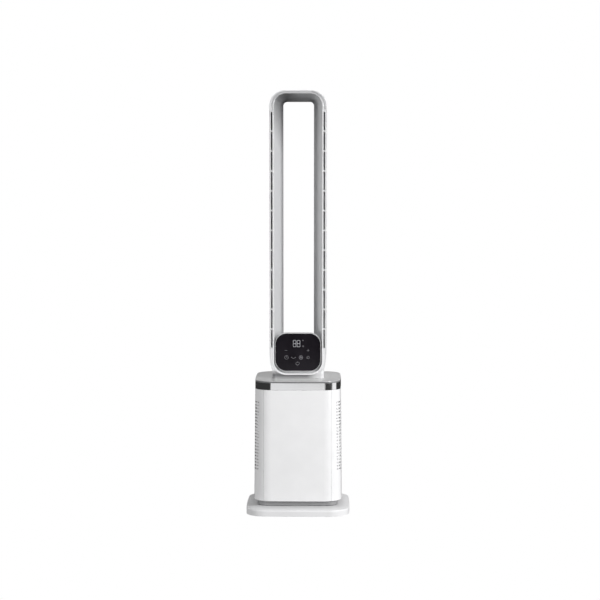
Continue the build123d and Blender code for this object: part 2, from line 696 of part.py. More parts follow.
def blade(root_radius, tip_radius, low, high, root_lead, tip_lead, camber):
    """Cambered, twisted blade in flat facets; lead is its sideways travel from bottom to top."""
    rings = []
    for step in range(BLADE_STEP_COUNT + 1):
        along = step / BLADE_STEP_COUNT
        bulge = 4 * camber * along * (1 - along)
        ring = []
        root = (root_radius, root_lead)
        tip = (tip_radius, tip_lead)
        for (radius, lead), shift in ((root, 0), (tip, 0), (tip, BLADE_THICK), (root, BLADE_THICK)):
            turn = (lead * (along - 0.5) + bulge - shift) / radius
            ring.append((radius * math.cos(turn), radius * math.sin(turn), low + along * (high - low)))
        rings.append(ring)
    return faceted(rings)


def impeller_hub(inset=0.0):
    eye = IMPELLER_EYE - inset
    back = IMPELLER_BACK - inset
    belly = (eye + BELLY_OUT * (back - eye), IMPELLER_Z + BELLY_UP * IMPELLER_HEIGHT)
    return spindle([(eye, IMPELLER_Z), belly, (back, IMPELLER_TOP)], 2 * IMPELLER_BLADE_COUNT)


def make_impeller():
    tip = FAN_RADIUS - TIP_CLEAR
    wheel = impeller_hub()
    root = IMPELLER_EYE - IMPELLER_WALL / 2
    one = blade(root, tip, IMPELLER_Z, IMPELLER_TOP, IMPELLER_LEAD, BLADE_TWIST * IMPELLER_LEAD, BLADE_CAMBER)
    wheel += [Rot(0, 0, 360 * turn / IMPELLER_BLADE_COUNT) * one for turn in range(IMPELLER_BLADE_COUNT)]
    hollow = Pos(0, 0, IMPELLER_WALL) * impeller_hub(IMPELLER_WALL)
    wheel -= hollow - rod(SHAFT_RADIUS + 2 * IMPELLER_WALL, 0, BODY_TOP)
    return wheel - rod(SHAFT_RADIUS, 0, BODY_TOP)


def make_impeller_shaft():
    return rod(SHAFT_RADIUS, IMPELLER_Z - NUT_HEIGHT - THREAD_END, MOTOR_Z + MOTOR_HEIGHT / 2)


def make_impeller_nut():
    nut = prism(RegularPolygon(NUT_RADIUS, 6), IMPELLER_Z - NUT_HEIGHT, IMPELLER_Z)
    return nut - rod(SHAFT_RADIUS, 0, IMPELLER_TOP)


def make_fan_housing():
    throat = INLET_Z + BELL_FLARE
    mouth = FAN_RADIUS + BELL_FLARE
    outer = FAN_RADIUS + FAN_WALL
    inside = [(mouth, INLET_Z), (FAN_RADIUS, throat), (FAN_RADIUS, HOUSING_TOP)]
    outside = [(outer, HOUSING_TOP), (outer, throat), (mouth + FAN_WALL, INLET_Z)]
    housing = revolved(inside + outside)
    cup_room = CUP_RADIUS - CUP_WALL
    housing += revolved([(MOTOR_BOSS + SEAT_CLEAR, CUP_Z), (CUP_RADIUS, CUP_Z), (CUP_RADIUS, CUP_TOP),
                         (cup_room, CUP_TOP), (cup_room, MOTOR_Z), (MOTOR_BOSS + SEAT_CLEAR, MOTOR_Z)])
    root = CUP_RADIUS - CUP_WALL / 2
    tip = FAN_RADIUS + FAN_WALL / 2
    stator_top = STATOR_Z + STATOR_HEIGHT
    one = blade(root, tip, STATOR_Z, stator_top, -STATOR_LEAD, -STATOR_LEAD, -BLADE_CAMBER)
    housing += [Rot(0, 0, 360 * turn / STATOR_BLADE_COUNT) * one for turn in range(STATOR_BLADE_COUNT)]
    return housing


def make_fan_motor():
    motor = rod(MOTOR_RADIUS, MOTOR_Z + SEAT_CLEAR, CUP_TOP - CUP_WALL)
    motor += rod(MOTOR_BOSS, CUP_Z + SEAT_CLEAR, MOTOR_Z + SEAT_CLEAR)
    motor += rod(MOTOR_BOSS, CUP_TOP - CUP_WALL, CUP_TOP + CUP_WALL)
    return motor - rod(SHAFT_RADIUS + RUN_CLEAR, 0, MOTOR_Z + MOTOR_HEIGHT / 2 + OVER)


def make_motor_isolators():
    """Rubber pads between the motor and its cup."""
    high = CUP_TOP - CUP_WALL
    low = high - ISOLATOR_HEIGHT
    ring = tube(CUP_RADIUS - CUP_WALL, MOTOR_RADIUS, low, high)
    pad = ring & block((0, CUP_RADIUS), (-ISOLATOR_WIDTH / 2, ISOLATOR_WIDTH / 2), (low, high))
    return [Rot(0, 0, 360 * turn / ISOLATOR_COUNT) * pad for turn in range(ISOLATOR_COUNT)]


def make_motor_cap():
    """Tail cone over the motor, in flats."""
    nose = CUP_TOP + CAP_HEIGHT
    cap = spindle([(CUP_RADIUS, CUP_TOP), (CAP_NOSE, nose)], CAP_FLAT_COUNT)
    hollow = [(CUP_RADIUS - CUP_WALL, CUP_TOP), (CAP_NOSE - CUP_WALL, nose - CUP_WALL)]
    return cap - spindle(hollow, CAP_FLAT_COUNT)


def duct_outline(inset=0.0):
    """Plan outline of the neck, which the diffuser rises into."""
    depth = LOOP_BACK - NECK_FRONT
    centre = (LOOP_BACK + NECK_FRONT) / 2
    corner = LOOP_BACK_ROUND - inset
    return Pos(0, centre) * RectangleRounded(2 * (NECK_HALF - inset), depth - 2 * inset, corner)


def duct_room(inset):
    """Round duct whose front, back and sides lean in to the neck's size."""
    radius = FAN_RADIUS + DIFFUSER_WALL - inset
    wall = LOOP_WALL + inset
    foot = [(x, y, HOUSING_TOP) for x, y in corners(radius, radius)]
    mouth = corners(NECK_HALF - wall, (LOOP_BACK - NECK_FRONT) / 2 - wall)
    head = [(x, y + (LOOP_BACK + NECK_FRONT) / 2, DECK_BOTTOM) for x, y in mouth]
    return rod(radius, HOUSING_TOP, DECK_BOTTOM) & faceted([foot, head])


def make_diffuser_duct():
    top = DECK_BOTTOM
    socket_bore = FAN_RADIUS + FAN_WALL + SEAT_CLEAR
    socket = rod(socket_bore + DIFFUSER_WALL, HOUSING_TOP - SOCKET_DEPTH, HOUSING_TOP + DIFFUSER_WALL)
    socket -= rod(socket_bore, 0, HOUSING_TOP)
    collar = prism(duct_outline(LOOP_WALL - FLANGE_WIDTH), top - FLANGE_THICK, top)
    duct = duct_room(0) + socket + collar
    return duct - duct_room(DIFFUSER_WALL) - rod(FAN_RADIUS, 0, HOUSING_TOP + OVER)


# ---------------------------------------------------------------- top of the body
def top_outline(inset=0.0):
    return body_outline(BODY_DRAFT + inset)


def make_top_deck():
    rail = BAND_WALL + SEAT_CLEAR
    deck = prism(top_outline(BODY_WALL + SEAT_CLEAR), DECK_BOTTOM, DECK_TOP)
    deck += prism(top_outline(rail), DECK_TOP, BAND_TOP)
    deck -= prism(top_outline(rail + DECK_RAIL), DECK_TOP, BAND_TOP)
    deck -= prism(duct_outline(LOOP_WALL + DIFFUSER_WALL), DECK_BOTTOM - OVER, DECK_TOP + OVER)
    for x, y in corners(BOSS_X, BOSS_Y):
        deck -= pin(SCREW_RADIUS + SCREW_CLEAR, DECK_BOTTOM - OVER, DECK_TOP + OVER, x, y)
    return deck


def make_chrome_band():
    low = BODY_TOP + SEAT_CLEAR
    return prism(top_outline(), low, BAND_TOP) - prism(top_outline(BAND_WALL), low, BAND_TOP)


def make_top_plate():
    inset = TOP_PLATE_INSET
    shoulder = FACE_Z - TOP_PLATE_ROUND
    bend = TOP_PLATE_ROUND * (1 - math.sqrt(0.5))
    levels = [(inset, FACE_Z - TOP_PLATE_THICK), (inset, shoulder), (inset + bend, FACE_Z - bend),
              (inset + TOP_PLATE_ROUND, FACE_Z)]
    plate = stack(top_outline, levels)
    plate += prism(top_outline(BAND_WALL + SEAT_CLEAR), BAND_TOP, FACE_Z - TOP_PLATE_THICK)
    locating_rim = BAND_WALL + 2 * SEAT_CLEAR + DECK_RAIL
    plate += prism(top_outline(locating_rim), BAND_TOP - TOP_PLATE_THICK, BAND_TOP)
    plate -= prism(top_outline(locating_rim + DECK_RAIL), 0, BAND_TOP)
    return plate - prism(duct_outline(-SEAT_CLEAR), DECK_TOP, FACE_Z + OVER)


def make_neck_gasket():
    ring = duct_outline() - duct_outline(LOOP_WALL + DIFFUSER_WALL)
    return prism(ring, DECK_TOP, SPIGOT_Z)


# ---------------------------------------------------------------- loop
def loop_outline(inset=0.0):
    """Front view of the loop and neck, down to the floor."""
    half = LOOP_HALF - inset
    neck = NECK_HALF - inset
    corner = LOOP_CORNER - inset
    top = LOOP_TOP - inset
    waist = FACE_Z + NECK_HEIGHT
    full = waist + WAIST_RISE
    knee = (half - corner * (1 - math.sqrt(0.5)), top - corner * (1 - math.sqrt(0.5)))
    right = [Line((0, 0), (neck, 0)), Line((neck, 0), (neck, waist)),
             TangentArc((half, full), (neck, waist), tangent=(0, -1)),
             Line((half, full), (half, top - corner)),
             ThreePointArc((half, top - corner), knee, (half - corner, top)),
             Line((half - corner, top), (0, top))]
    return make_face(right + [mirror(edge, Plane.YZ) for edge in right])


def upright(half, low, high, corner):
    """Rounded upright rectangle in the front view, centred on the axis."""
    return Pos(0, (low + high) / 2) * RectangleRounded(2 * half, high - low, corner)


def flare_front(inset=0.0):
    """Half width, low, high and corner radius of the opening's front edge; a negative inset is larger."""
    return (FLARE_FRONT_HALF - inset, FACE_Z + FLARE_FRONT_SINK + inset, LOOP_TOP - FLARE_TOP - inset,
            FLARE_FRONT_CORNER - inset)


def flare_back(inset=0.0):
    return (FLARE_BACK_HALF - inset, FACE_Z + FLARE_BACK_SINK + inset, LOOP_TOP - FLARE_BACK_TOP - inset,
            FLARE_BACK_CORNER - inset)


def upright_ring(half, low, high, corner, depth):
    """Points round an upright rounded rectangle, its corners in short flats."""
    ring = []
    for quarter, x_side, z_middle in ((0, 1, high - corner), (1, -1, high - corner),
                                      (2, -1, low + corner), (3, 1, low + corner)):
        for step in range(FLARE_FLAT_COUNT + 1):
            turn = math.pi / 2 * (quarter + step / FLARE_FLAT_COUNT)
            x = x_side * (half - corner) + corner * math.cos(turn)
            ring.append((x, depth, z_middle + corner * math.sin(turn)))
    return ring


def flare(inset, front, back):
    """The tapered through-opening as a solid, from the front edge's plane to the back one's."""
    return faceted([upright_ring(*flare_front(inset), front), upright_ring(*flare_back(inset), back)])


def make_loop_outer_shell():
    waist = FACE_Z + NECK_HEIGHT
    across = (-BODY_HALF, BODY_HALF)

    def back_edges(body):
        return body.faces().sort_by(Axis.Y)[-1].edges().filter_by(lambda edge: edge.center().Z > OVER)

    below = block(across, across, (-OVER, waist))
    outer = slab(loop_outline(), LOOP_FRONT, LOOP_BACK)
    outer = fillet(back_edges(outer), LOOP_BACK_ROUND) - below
    outer += prism(duct_outline(), SPIGOT_Z, waist)
    cavity = slab(loop_outline(LOOP_WALL), LOOP_FRONT - OVER, LOOP_BACK - LOOP_WALL)
    cavity = chamfer(back_edges(cavity), LOOP_BACK_ROUND / 2) - below
    cavity -= block(across, (-BODY_HALF, NECK_FRONT + LOOP_WALL), (waist - OVER, waist + LOOP_WALL))
    cavity += prism(duct_outline(LOOP_WALL), SPIGOT_Z - OVER, waist + OVER)
    gap = FLARE_WALL + SEAT_CLEAR
    lip_back = LOOP_FRONT - LIP_PROUD + LIP_DEPTH
    lane = flare(-gap, lip_back, LOOP_BACK)
    lane += slab(upright(*flare_back(-gap)), LOOP_BACK - OVER, LOOP_BACK + OVER)
    lip_gap = LIP_WIDTH + SEAT_CLEAR
    return outer - cavity - lane - slab(upright(*flare_front(-lip_gap)), LOOP_FRONT - OVER, lip_back)


def make_loop_inner_shell():
    front = LOOP_FRONT - LIP_PROUD + LIP_DEPTH
    return flare(-FLARE_WALL, front, LOOP_BACK) - flare(0, front, LOOP_BACK)


def outlet_middle():
    return FLARE_FRONT_HALF + LIP_WIDTH + OUTLET_WIDTH / 2


def make_loop_front_ring():
    waist = FACE_Z + NECK_HEIGHT
    rail = slab(loop_outline(LOOP_WALL + SEAT_CLEAR), LOOP_FRONT, LOOP_FRONT + RING_THICK)
    rail -= block((-BODY_HALF, BODY_HALF), (-BODY_HALF, 0), (-OVER, waist + LOOP_WALL + SEAT_CLEAR))
    lip_front = LOOP_FRONT - LIP_PROUD
    lip = slab(upright(*flare_front(-LIP_WIDTH)), lip_front, lip_front + LIP_DEPTH)
    lip -= slab(upright(*flare_front()), lip_front - OVER, lip_front + LIP_DEPTH + OVER)
    lip = chamfer(lip.faces().sort_by(Axis.Y)[0].edges(), LIP_ROUND)
    rail -= slab(upright(*flare_front(-LIP_WIDTH / 2)), lip_front, LOOP_FRONT + RING_THICK + OVER)
    ring = rail + lip
    length = OUTLET_PITCH - OUTLET_BRIDGE
    depth = (LOOP_FRONT - OVER, LOOP_FRONT + RING_THICK + OVER)
    outlets = []
    for index in range(OUTLET_COUNT):
        low = FACE_Z + OUTLET_START + index * OUTLET_PITCH
        for side in (-1, 1):
            x_middle = side * outlet_middle()
            width = (x_middle - OUTLET_WIDTH / 2, x_middle + OUTLET_WIDTH / 2)
            outlets.append(block(width, depth, (low, low + length)))
    return ring - outlets - top_groove()


def top_groove():
    """Shallow groove that carries the line of the slots round the top."""
    low = FACE_Z + OUTLET_START + OUTLET_COUNT * OUTLET_PITCH - OUTLET_BRIDGE + GROOVE_SETBACK
    reach = LIP_WIDTH + OUTLET_WIDTH
    middle = LOOP_TOP - FLARE_TOP + LIP_WIDTH
    half = GROOVE_WIDTH / 2
    outer_edge = upright(FLARE_FRONT_HALF + reach, 0, middle + half, FLARE_FRONT_CORNER + reach)
    inner_edge = upright(FLARE_FRONT_HALF + LIP_WIDTH, 0, middle - half, FLARE_FRONT_CORNER + LIP_WIDTH)
    groove = slab(outer_edge, LOOP_FRONT - OVER, LOOP_FRONT + GROOVE_DEPTH)
    groove -= slab(inner_edge, LOOP_FRONT - 2 * OVER, LOOP_FRONT + GROOVE_DEPTH + OVER)
    return groove & block((-BODY_HALF, BODY_HALF), (-BODY_HALF, 0), (low, LOOP_TOP))


# ---------------------------------------------------------------- control panel
def glass_outline(inset=0.0):
    low = FACE_Z + GLASS_LIFT
    return upright(GLASS_WIDTH / 2 - inset, low + inset, low + GLASS_HEIGHT - inset, GLASS_CORNER - inset)


def make_control_housing():
    back = GLASS_FRONT + HOUSING_DEPTH
    puck = slab(glass_outline(-HOUSING_RIM), GLASS_FRONT + GLASS_PROUD, back)
    puck = chamfer(puck.faces().sort_by(Axis.Y)[-1].edges(), HOUSING_BEVEL)
    puck -= slab(glass_outline(-SEAT_CLEAR), GLASS_FRONT - OVER, GLASS_FRONT + GLASS_THICK)
    puck -= slab(glass_outline(HOUSING_WALL), GLASS_FRONT, back - HOUSING_WALL)
    lip_front = LOOP_FRONT - LIP_PROUD
    lane = slab(upright(*flare_front(SEAT_CLEAR)), lip_front - LIP_DEPTH, lip_front + LIP_DEPTH)
    lane += flare(SEAT_CLEAR, lip_front + LIP_DEPTH, LOOP_BACK)
    return puck & lane


def make_control_glass():
    glass = slab(glass_outline(), GLASS_FRONT, GLASS_FRONT + GLASS_THICK)
    return chamfer(glass.faces().sort_by(Axis.Y)[0].edges(), GLASS_EDGE)


def make_display_board():
    """Circuit board behind the glass, with the block of digits reaching forward to it."""
    glass_back = GLASS_FRONT + GLASS_THICK
    board_front = glass_back + DISPLAY_STAND
    board = slab(glass_outline(DISPLAY_MARGIN), board_front, board_front + DISPLAY_THICK)
    high = FACE_Z + GLASS_LIFT + GLASS_HEIGHT - DIGITS_DROP
    digits = upright(DIGITS_WIDTH / 2, high - DIGITS_HEIGHT, high, DIGITS_CORNER)
    return board + slab(digits, glass_back, board_front)


NODES = {
    "base_plate": make_base_plate(),
    "base_weight": make_base_weight(),
    "base_cover": make_base_cover(),
    "rubber_feet": make_rubber_feet(),
    "base_screws": make_base_screws(),
    "cord_gland": make_cord_gland(),
    "pivot_post": make_pivot_post(),
    "pivot_nut": make_pivot_nut(),
    "sun_gear": make_sun_gear(),
    "glide_ring": make_glide_ring(),
    "pivot_retainer": make_pivot_retainer(),
    "turntable": make_turntable(),
    "hub_bush": make_hub_bush(),
    "swing_motor": make_swing_motor(),
    "swing_motor_screws": make_swing_motor_screws(),
    "swing_pinion": make_swing_pinion(),
    "swing_shaft": make_swing_shaft(),
    "power_board": make_power_board(),
    "filter_tray": make_filter_tray(),
    "fan_housing": make_fan_housing(),
    "fan_motor": make_fan_motor(),
    "motor_isolators": make_motor_isolators(),
    "motor_cap": make_motor_cap(),
    "impeller": make_impeller(),
    "impeller_shaft": make_impeller_shaft(),
    "impeller_nut": make_impeller_nut(),
    "diffuser_duct": make_diffuser_duct(),
    "shell_screws": make_shell_screws(),
    "top_deck": make_top_deck(),
    "chrome_band": make_chrome_band(),
    "top_plate": make_top_plate(),
    "neck_gasket": make_neck_gasket(),
    "loop_outer_shell": make_loop_outer_shell(),
    "loop_inner_shell": make_loop_inner_shell(),
    "loop_front_ring": make_loop_front_ring(),
    "control_housing": make_control_housing(),
    "control_glass": make_control_glass(),
    "display_board": make_display_board(),
}

skin = body_tube()
NODES["body_front_shell"] = make_body_shell(skin, -1)
NODES["body_rear_shell"] = make_body_shell(skin, 1)
for name, side in (("left", -1), ("right", 1)):
    NODES[name + "_intake_grille"] = make_intake_grille(skin, side)
    NODES[name + "_filter_frame"] = make_filter_frame(side)
    NODES[name + "_filter_media"] = make_filter_media(side)

for name, shape in NODES.items():
    pieces = shape if isinstance(shape, list) else [shape]
    solids = [solid for piece in pieces for solid in piece.solids()]
    export_step(Compound(solids), "parts/" + name + ".step")
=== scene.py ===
"""Looks of the tower fan: materials of the CAD nodes, signs on the touch panel, camera, floor and light.

Lengths are in metres where nothing else is said. The fan stands on z = 0 and faces -y, where the camera is.
"""
import json
import math

import bpy
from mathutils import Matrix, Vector


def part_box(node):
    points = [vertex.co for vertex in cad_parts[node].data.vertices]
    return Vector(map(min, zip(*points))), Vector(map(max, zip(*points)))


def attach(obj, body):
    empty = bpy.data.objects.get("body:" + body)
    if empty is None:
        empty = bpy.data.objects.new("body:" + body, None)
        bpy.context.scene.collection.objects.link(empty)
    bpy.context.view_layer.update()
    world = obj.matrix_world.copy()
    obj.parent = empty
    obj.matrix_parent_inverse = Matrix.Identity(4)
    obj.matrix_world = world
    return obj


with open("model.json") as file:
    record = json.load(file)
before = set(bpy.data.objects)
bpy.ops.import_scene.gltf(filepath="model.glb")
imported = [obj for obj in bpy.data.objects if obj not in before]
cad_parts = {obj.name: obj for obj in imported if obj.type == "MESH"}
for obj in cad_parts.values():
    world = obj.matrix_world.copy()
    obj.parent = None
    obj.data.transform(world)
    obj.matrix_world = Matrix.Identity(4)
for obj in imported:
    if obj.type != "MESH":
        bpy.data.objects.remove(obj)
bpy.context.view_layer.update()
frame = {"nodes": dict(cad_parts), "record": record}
scene = bpy.context.scene
scene.view_settings.view_transform = "Standard"

ACROSS, BACK, UP = (1.0, 0.0, 0.0), (0.0, 1.0, 0.0), (0.0, 0.0, 1.0)


def new_object(name, data):
    thing = bpy.data.objects.new(name, data)
    scene.collection.objects.link(thing)
    return thing


def place_and_aim(thing, place, target):
    """Puts a camera or a light at place, turned to the target."""
    thing.location = place
    thing.rotation_euler = (Vector(target) - Vector(place)).to_track_quat("-Z", "Y").to_euler()


# ---------------------------------------------------------------- camera
CAMERA_PLACE = (0.1027, -5.63, 1.0355)
CAMERA_TARGET = (0.0044, 0.0, 0.5429)
SENSOR_WIDTH, LENS = 36.0, 131.76     # millimetres
NEAREST, FURTHEST = 0.1, 100.0


def make_camera():
    data = bpy.data.cameras.new("camera")
    data.sensor_width = SENSOR_WIDTH
    data.lens = LENS
    data.clip_start = NEAREST
    data.clip_end = FURTHEST
    scene.camera = new_object("camera", data)
    place_and_aim(scene.camera, CAMERA_PLACE, CAMERA_TARGET)


# ---------------------------------------------------------------- shader nodes
MIX_AMOUNT, MIX_FIRST, MIX_SECOND, MIX_RESULT = 0, 6, 7, 2     # sockets of a Mix node set to colours
NOISE_LOW, NOISE_HIGH = 0.35, 0.65     # where most of a noise's values lie


def new_material(name):
    material = bpy.data.materials.new(name)
    material.use_nodes = True
    tree = material.node_tree
    return material, tree, tree.nodes["Principled BSDF"]


def add(tree, kind, **values):
    """Adds a node and sets its properties or, by their names, its sockets."""
    node = tree.nodes.new(kind)
    for key, value in values.items():
        if hasattr(node, key):
            setattr(node, key, value)
        else:
            node.inputs[key].default_value = value
    return node


def object_place(tree):
    """The place on the object, in the object's own coordinates."""
    return add(tree, "ShaderNodeTexCoord").outputs["Object"]


def noise(tree, scale, detail=2.0, roughness=0.5, stretch=None):
    """Noise that is fixed to the object, squeezed along each axis by stretch."""
    source = object_place(tree)
    if stretch:
        mapping = add(tree, "ShaderNodeMapping", Scale=stretch)
        tree.links.new(source, mapping.inputs["Vector"])
        source = mapping.outputs["Vector"]
    node = add(tree, "ShaderNodeTexNoise", Scale=scale, Detail=detail, Roughness=roughness)
    tree.links.new(source, node.inputs["Vector"])
    return node.outputs["Fac"]


def ramp(tree, source, low, high, start=NOISE_LOW, end=NOISE_HIGH):
    """Goes from low to high while the source goes from start to end."""
    node = add(tree, "ShaderNodeMapRange")
    node.inputs["From Min"].default_value = start
    node.inputs["From Max"].default_value = end
    node.inputs["To Min"].default_value = low
    node.inputs["To Max"].default_value = high
    tree.links.new(source, node.inputs["Value"])
    return node.outputs["Result"]


def fade(tree, direction, low, high, start, end):
    """Goes from low to high between the places start and end along a direction of the object."""
    along = add(tree, "ShaderNodeVectorMath", operation="DOT_PRODUCT")
    tree.links.new(object_place(tree), along.inputs[0])
    along.inputs[1].default_value = direction
    return ramp(tree, along.outputs["Value"], low, high, start, end)


def combine(tree, operation, outputs):
    """One value from several: the operation taken over all of them in turn."""
    total, *others = outputs
    for other in others:
        node = add(tree, "ShaderNodeMath", operation=operation)
        tree.links.new(total, node.inputs[0])
        tree.links.new(other, node.inputs[1])
        total = node.outputs[0]
    return total


def fade_product(tree, fades):
    """The product of fades, each given as fade's direction, low, high, start and end."""
    return combine(tree, "MULTIPLY", [fade(tree, *values) for values in fades])


def mix(tree, amount, first, second):
    """Mixes two colours; each is three numbers or the output of a node."""
    node = add(tree, "ShaderNodeMix", data_type="RGBA")
    tree.links.new(amount, node.inputs[MIX_AMOUNT])
    for color, socket in ((first, node.inputs[MIX_FIRST]), (second, node.inputs[MIX_SECOND])):
        if isinstance(color, tuple):
            socket.default_value = (*color, 1.0)
        else:
            tree.links.new(color, socket)
    return node.outputs[MIX_RESULT]


def mix_by(tree, source, first, second, start=NOISE_LOW, end=NOISE_HIGH):
    """Goes from the first colour to the second while the source goes from start to end."""
    return mix(tree, ramp(tree, source, 0.0, 1.0, start, end), first, second)


def darker(color, share):
    """The colour with a share of its light taken off."""
    return tuple(channel * (1.0 - share) for channel in color)


def bump(tree, shader, source, distance, strength=0.5):
    """Relief on a surface: the source's value is its height."""
    node = add(tree, "ShaderNodeBump", Strength=strength, Distance=distance)
    tree.links.new(source, node.inputs["Height"])
    tree.links.new(node.outputs["Normal"], shader.inputs["Normal"])


# ---------------------------------------------------------------- surfaces
MOTTLE_SCALE, POLISH_SCALE = 18.0, 90.0       # of noises, where more is finer
GRAIN = (2500.0, 0.00002)                     # scale and depth of a plastic's grain
SOFT_GRAIN = (1200.0, 0.00005)
DRAWN = (60.0, 0.00001, (1.0, 1.0, 40.0))     # scale, depth and stretch of a metal's lines
CAST = (300.0, 0.0001, (1.0, 1.0, 1.0))


def plastic(name, color, roughness, grain=GRAIN):
    """Moulded plastic: faint mottling, uneven polish and a moulded grain."""
    material, tree, shader = new_material(name)
    mottle = mix_by(tree, noise(tree, MOTTLE_SCALE, detail=3.0), darker(color, 0.03), color)
    polish = ramp(tree, noise(tree, POLISH_SCALE, detail=4.0), roughness * 0.85, roughness * 1.2)
    tree.links.new(mottle, shader.inputs["Base Color"])
    tree.links.new(polish, shader.inputs["Roughness"])
    scale, depth = grain
    bump(tree, shader, noise(tree, scale, detail=3.0), depth)
    return material


def metal(name, color, roughness, skin=DRAWN):
    """Metal with turning or drawing lines, or the rough skin of a casting."""
    material, tree, shader = new_material(name)
    shader.inputs["Metallic"].default_value = 1.0
    scale, depth, stretch = skin
    lines = noise(tree, scale, detail=4.0, roughness=0.6, stretch=stretch)
    tree.links.new(mix_by(tree, lines, darker(color, 0.12), color), shader.inputs["Base Color"])
    tree.links.new(ramp(tree, lines, roughness * 0.7, roughness * 1.4), shader.inputs["Roughness"])
    bump(tree, shader, lines, depth)
    return material


def chrome():
    """Bright plating with faint smears."""
    material, tree, shader = new_material("chrome_plating")
    shader.inputs["Metallic"].default_value = 1.0
    smear = noise(tree, 14.0, detail=4.0)
    color = mix_by(tree, smear, (0.80, 0.80, 0.81), (0.86, 0.86, 0.87))
    tree.links.new(color, shader.inputs["Base Color"])
    tree.links.new(ramp(tree, smear, 0.05, 0.10), shader.inputs["Roughness"])
    bump(tree, shader, noise(tree, 400.0), 0.000004)
    return material


def silver_paint_with_painted_light():
    """Silver paint with fine metal flakes under a satin clear coat, with a painted shade darkening its rim
    and a painted reflection of the neck, under a thinner clear coat, in the strip before the neck.
    """
    material, tree, shader = new_material("silver_paint_with_painted_light")
    shader.inputs["Metallic"].default_value = 0.12
    flakes = add(tree, "ShaderNodeTexVoronoi", Scale=1400.0)
    tree.links.new(object_place(tree), flakes.inputs["Vector"])
    tint = flakes.outputs["Color"]
    paint = mix_by(tree, tint, (0.46, 0.46, 0.465), (0.74, 0.74, 0.74), 0.0, 1.0)
    # painted reflection: the strip before the neck is painted lighter, as the neck's mirror image
    painted_reflection_mask = fade_product(tree, painted_neck_reflection_fades())
    bright = mix(tree, painted_reflection_mask, paint, (0.98, 0.98, 0.98))
    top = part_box("top_plate")[1].z
    # painted shade: the rim below the top face is painted dark
    above_painted_rim_shade = fade(tree, UP, 0.0, 1.0, top - 0.0018, top - 0.0006)
    color = mix(tree, above_painted_rim_shade, (0.22, 0.22, 0.225), bright)
    tree.links.new(color, shader.inputs["Base Color"])
    tree.links.new(ramp(tree, tint, 0.32, 0.55, 0.0, 1.0), shader.inputs["Roughness"])
    # the clear coat is thinner where the painted reflection lies
    tree.links.new(ramp(tree, painted_reflection_mask, 0.7, 0.1, 0.0, 1.0), shader.inputs["Coat Weight"])
    shader.inputs["Coat Roughness"].default_value = 0.08
    bump(tree, shader, flakes.outputs["Distance"], 0.00002, 0.3)
    return material


def dark_glass():
    """Black printed glass with faint smears of handling."""
    material, tree, shader = new_material("panel_glass")
    shader.inputs["Specular IOR Level"].default_value = 0.25
    smear = noise(tree, 35.0, detail=6.0, roughness=0.6, stretch=(1.0, 1.0, 0.5))
    color = mix_by(tree, smear, (0.0075, 0.0062, 0.0085), (0.0110, 0.0092, 0.0125))
    tree.links.new(color, shader.inputs["Base Color"])
    tree.links.new(ramp(tree, smear, 0.08, 0.16), shader.inputs["Roughness"])
    bump(tree, shader, noise(tree, 260.0), 0.000002, 0.3)
    return material


def print_ink(name, color, glow):
    """Ink or light seen through the glass, a little uneven."""
    material, tree, shader = new_material(name)
    uneven = noise(tree, 900.0)
    tone = mix_by(tree, uneven, darker(color, 0.2), color)
    tree.links.new(tone, shader.inputs["Base Color"])
    tree.links.new(tone, shader.inputs["Emission Color"])
    shader.inputs["Emission Strength"].default_value = glow
    tree.links.new(ramp(tree, uneven, 0.42, 0.6), shader.inputs["Roughness"])
    bump(tree, shader, uneven, 0.000005)
    return material


def paper():
    """Pleated filter paper, with its fibres."""
    material, tree, shader = new_material("filter_paper")
    fibres = noise(tree, 700.0, detail=6.0, roughness=0.7, stretch=(1.0, 1.0, 3.0))
    color = mix_by(tree, fibres, (0.62, 0.61, 0.57), (0.80, 0.79, 0.75))
    tree.links.new(color, shader.inputs["Base Color"])
    tree.links.new(ramp(tree, fibres, 0.82, 0.96), shader.inputs["Roughness"])
    bump(tree, shader, fibres, 0.0001)
    return material


def circuit_board():
    """Green solder mask over copper tracks."""
    material, tree, shader = new_material("circuit_board")
    tracks = noise(tree, 320.0, detail=1.0, roughness=0.4, stretch=(1.0, 0.25, 1.0))
    edge = (0.45, 0.55)
    color = mix_by(tree, tracks, (0.02, 0.09, 0.04), (0.05, 0.20, 0.09), *edge)
    tree.links.new(color, shader.inputs["Base Color"])
    tree.links.new(ramp(tree, tracks, 0.28, 0.45, *edge), shader.inputs["Roughness"])
    bump(tree, shader, tracks, 0.00005)
    return material


# ---------------------------------------------------------------- soft shade of the photo's studio
# The functions of fades say where painted shade lies, or the neck's painted reflection; each fade is a
# direction, low, high, start and end.
ARCH_SLANT = (0.0, 0.76, 1.0)     # up and back, so that the arch's painted shadow reaches lower at the back


def soft_shade(material, color, fades):
    """Lays a painted shade over a material: a colour, by as much as the fades multiplied say."""
    tree = material.node_tree
    base_color = tree.nodes["Principled BSDF"].inputs["Base Color"]
    own = base_color.links[0].from_socket
    tree.links.new(mix(tree, fade_product(tree, fades), own, color), base_color)
    return material


def painted_neck_reflection_fades():
    """The strip of the top plate before the neck, where the neck's mirror image is laid on as a painted
    reflection.
    """
    return ((BACK, 0.95, 0.0, -0.058, -0.046), (BACK, 0.15, 1.0, -0.112, -0.092),
            (ACROSS, 0.0, 1.0, -0.064, -0.056), (ACROSS, 1.0, 0.0, 0.056, 0.064))


def chin_shade_fades():
    """Painted shade on the neck's front face, under the chin of the loop."""
    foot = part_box("top_plate")[1].z
    return ((UP, 0.72, 1.05, foot, foot + 0.0065), (UP, 1.0, 0.0, foot + 0.009, foot + 0.017),
            (BACK, 1.0, 0.0, -0.040, -0.028), (ACROSS, 1.0, 0.35, 0.022, 0.050))


def rim_shade_fades():
    """Painted shade on the ring's bow over the top of the loop."""
    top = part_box("loop_outer_shell")[1].z
    return ((UP, 0.0, 1.0, top - 0.035, top - 0.010),)


